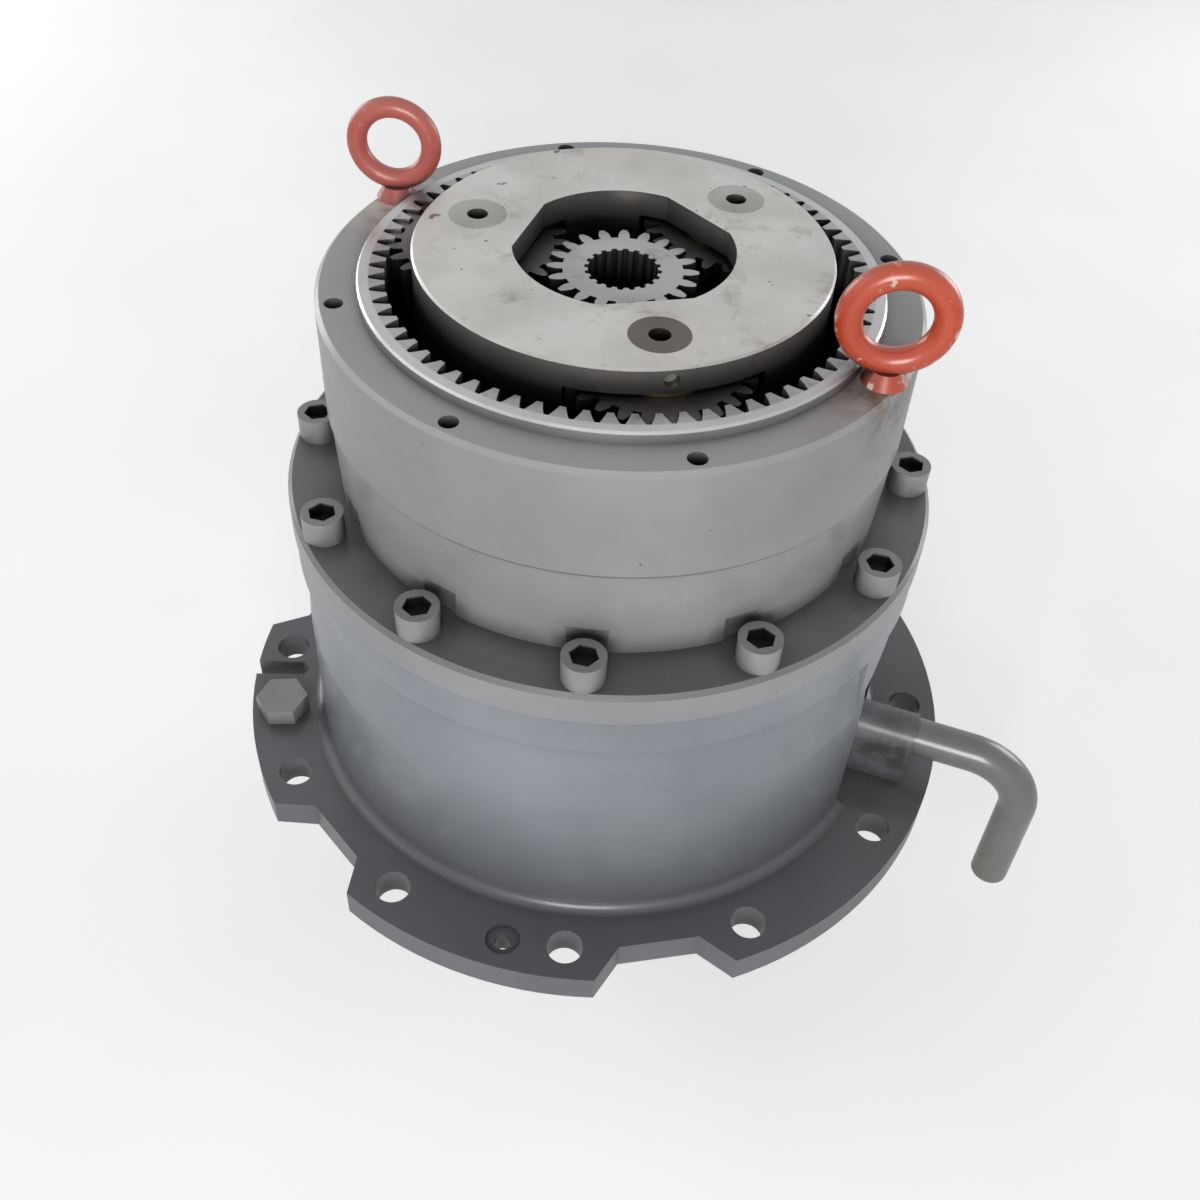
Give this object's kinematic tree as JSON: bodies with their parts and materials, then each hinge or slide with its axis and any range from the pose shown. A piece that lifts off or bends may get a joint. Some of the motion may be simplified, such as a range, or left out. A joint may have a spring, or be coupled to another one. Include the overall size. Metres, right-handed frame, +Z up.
{
  "type": "swing gearbox",
  "caption": "Two-stage planetary swing gearbox, motor removed: flanged cylindrical casing, open geared top, lifting eye bolts, bent drain pipe and output pinion below the mounting flange.",
  "frame": {"origin": "on the gear axis at the mounting face under the frame flange", "axes": "+Z up along the gear axis to the motor side; +X through a frame bolt hole, with the drain pipe at -15 degrees from it"},
  "size_m": [0.5413, 0.48, 0.5574],
  "materials": {
    "case_paint": "semi-gloss gray casting paint",
    "housing_paint": "semi-gloss gray paint over turned casting",
    "bolt_paint": "gray paint over socket head screws",
    "orange_paint": "glossy orange-red paint",
    "red_paint": "matt faded red paint",
    "machined_steel": "machined face with oil stains",
    "gear_steel": "ground gear steel under oil",
    "shaft_steel": "turned and ground steel",
    "bearing_steel": "ground bearing steel",
    "pressed_steel": "pressed steel",
    "bronze": "bearing bronze",
    "seal_rubber": "black nitrile rubber"
  },
  "bodies": {
    "housing": {"gear_case": "case_paint", "ring_gear_housing": "housing_paint", "joint_bolts": "bolt_paint", "joint_dowels": "shaft_steel", "joint_seal_ring": "seal_rubber", "eye_bolt_front": "orange_paint", "eye_bolt_rear": "red_paint", "drain_pipe": "case_paint", "flange_hex_bolt": "bolt_paint", "seal_cover": "case_paint", "seal_cover_screws": "bolt_paint", "shaft_seal": "seal_rubber", "lower_bearing_outer_ring": "bearing_steel", "upper_bearing_outer_ring": "bearing_steel"},
    "output_shaft": {"output_pinion_shaft": "shaft_steel", "seal_sleeve": "shaft_steel", "lower_bearing_inner_ring": "bearing_steel", "upper_bearing_inner_ring": "bearing_steel", "shaft_nut": "shaft_steel", "second_carrier": "gear_steel", "shaft_end_plate": "shaft_steel", "end_plate_screws": "shaft_steel", "second_planet_pins": "shaft_steel", "second_lock_pins": "shaft_steel", "second_thrust_washers": "bronze", "carrier_thrust_ring": "bronze"},
    "lower_roller_set": {"lower_bearing_rollers": "bearing_steel", "lower_bearing_cage": "pressed_steel"},
    "upper_roller_set": {"upper_bearing_rollers": "bearing_steel", "upper_bearing_cage": "pressed_steel"},
    "first_stage_carrier": {"first_carrier": "machined_steel", "first_planet_pins": "shaft_steel", "first_lock_pins": "shaft_steel", "first_thrust_washers": "bronze", "second_sun": "gear_steel", "sun_thrust_plate": "bronze"},
    "input_sun_gear": {"input_sun": "gear_steel"},
    "first_planet_gear_1": {"first_planet_1": "gear_steel", "first_planet_1_bush": "bronze"},
    "first_planet_gear_2": {"first_planet_2": "gear_steel", "first_planet_2_bush": "bronze"},
    "first_planet_gear_3": {"first_planet_3": "gear_steel", "first_planet_3_bush": "bronze"},
    "second_planet_gear_1": {"second_planet_1": "gear_steel", "second_planet_1_bush": "bronze"},
    "second_planet_gear_2": {"second_planet_2": "gear_steel", "second_planet_2_bush": "bronze"},
    "second_planet_gear_3": {"second_planet_3": "gear_steel", "second_planet_3_bush": "bronze"},
    "second_planet_gear_4": {"second_planet_4": "gear_steel", "second_planet_4_bush": "bronze"}
  },
  "joints": [
    {"name": "output_spin", "type": "hinge", "parent": "housing", "child": "output_shaft", "pos_m": [0, 0, 0], "axis": [0, 0, 1], "continuous": true},
    {"name": "lower_roller_spin", "type": "hinge", "parent": "housing", "child": "lower_roller_set", "pos_m": [0, 0, 0], "axis": [0, 0, 1], "continuous": true},
    {"name": "upper_roller_spin", "type": "hinge", "parent": "housing", "child": "upper_roller_set", "pos_m": [0, 0, 0], "axis": [0, 0, 1], "continuous": true},
    {"name": "first_carrier_spin", "type": "hinge", "parent": "housing", "child": "first_stage_carrier", "pos_m": [0, 0, 0], "axis": [0, 0, 1], "continuous": true},
    {"name": "input_sun_spin", "type": "hinge", "parent": "housing", "child": "input_sun_gear", "pos_m": [0, 0, 0], "axis": [0, 0, 1], "continuous": true},
    {"name": "first_planet_1_spin", "type": "hinge", "parent": "first_stage_carrier", "child": "first_planet_gear_1", "pos_m": [0.05861, 0.06069, 0], "axis": [0, 0, 1], "continuous": true},
    {"name": "first_planet_2_spin", "type": "hinge", "parent": "first_stage_carrier", "child": "first_planet_gear_2", "pos_m": [-0.08187, 0.02041, 0], "axis": [0, 0, 1], "continuous": true},
    {"name": "first_planet_3_spin", "type": "hinge", "parent": "first_stage_carrier", "child": "first_planet_gear_3", "pos_m": [0.02326, -0.08111, 0], "axis": [0, 0, 1], "continuous": true},
    {"name": "second_planet_1_spin", "type": "hinge", "parent": "output_shaft", "child": "second_planet_gear_1", "pos_m": [0.0825, 0, 0], "axis": [0, 0, 1], "continuous": true},
    {"name": "second_planet_2_spin", "type": "hinge", "parent": "output_shaft", "child": "second_planet_gear_2", "pos_m": [0, 0.0825, 0], "axis": [0, 0, 1], "continuous": true},
    {"name": "second_planet_3_spin", "type": "hinge", "parent": "output_shaft", "child": "second_planet_gear_3", "pos_m": [-0.0825, 0, 0], "axis": [0, 0, 1], "continuous": true},
    {"name": "second_planet_4_spin", "type": "hinge", "parent": "output_shaft", "child": "second_planet_gear_4", "pos_m": [0, -0.0825, 0], "axis": [0, 0, 1], "continuous": true}
  ],
  "couplings": [
    {"joint": "lower_roller_spin", "follows": "output_spin", "ratio": 0.44786},
    {"joint": "upper_roller_spin", "follows": "output_spin", "ratio": 0.44874},
    {"joint": "first_carrier_spin", "follows": "output_spin", "ratio": 4.8889},
    {"joint": "input_sun_spin", "follows": "output_spin", "ratio": 22},
    {"joint": "first_planet_1_spin", "follows": "output_spin", "ratio": -13.689},
    {"joint": "first_planet_2_spin", "follows": "output_spin", "ratio": -13.689},
    {"joint": "first_planet_3_spin", "follows": "output_spin", "ratio": -13.689},
    {"joint": "second_planet_1_spin", "follows": "output_spin", "ratio": -2.6923},
    {"joint": "second_planet_2_spin", "follows": "output_spin", "ratio": -2.6923},
    {"joint": "second_planet_3_spin", "follows": "output_spin", "ratio": -2.6923},
    {"joint": "second_planet_4_spin", "follows": "output_spin", "ratio": -2.6923}
  ]
}
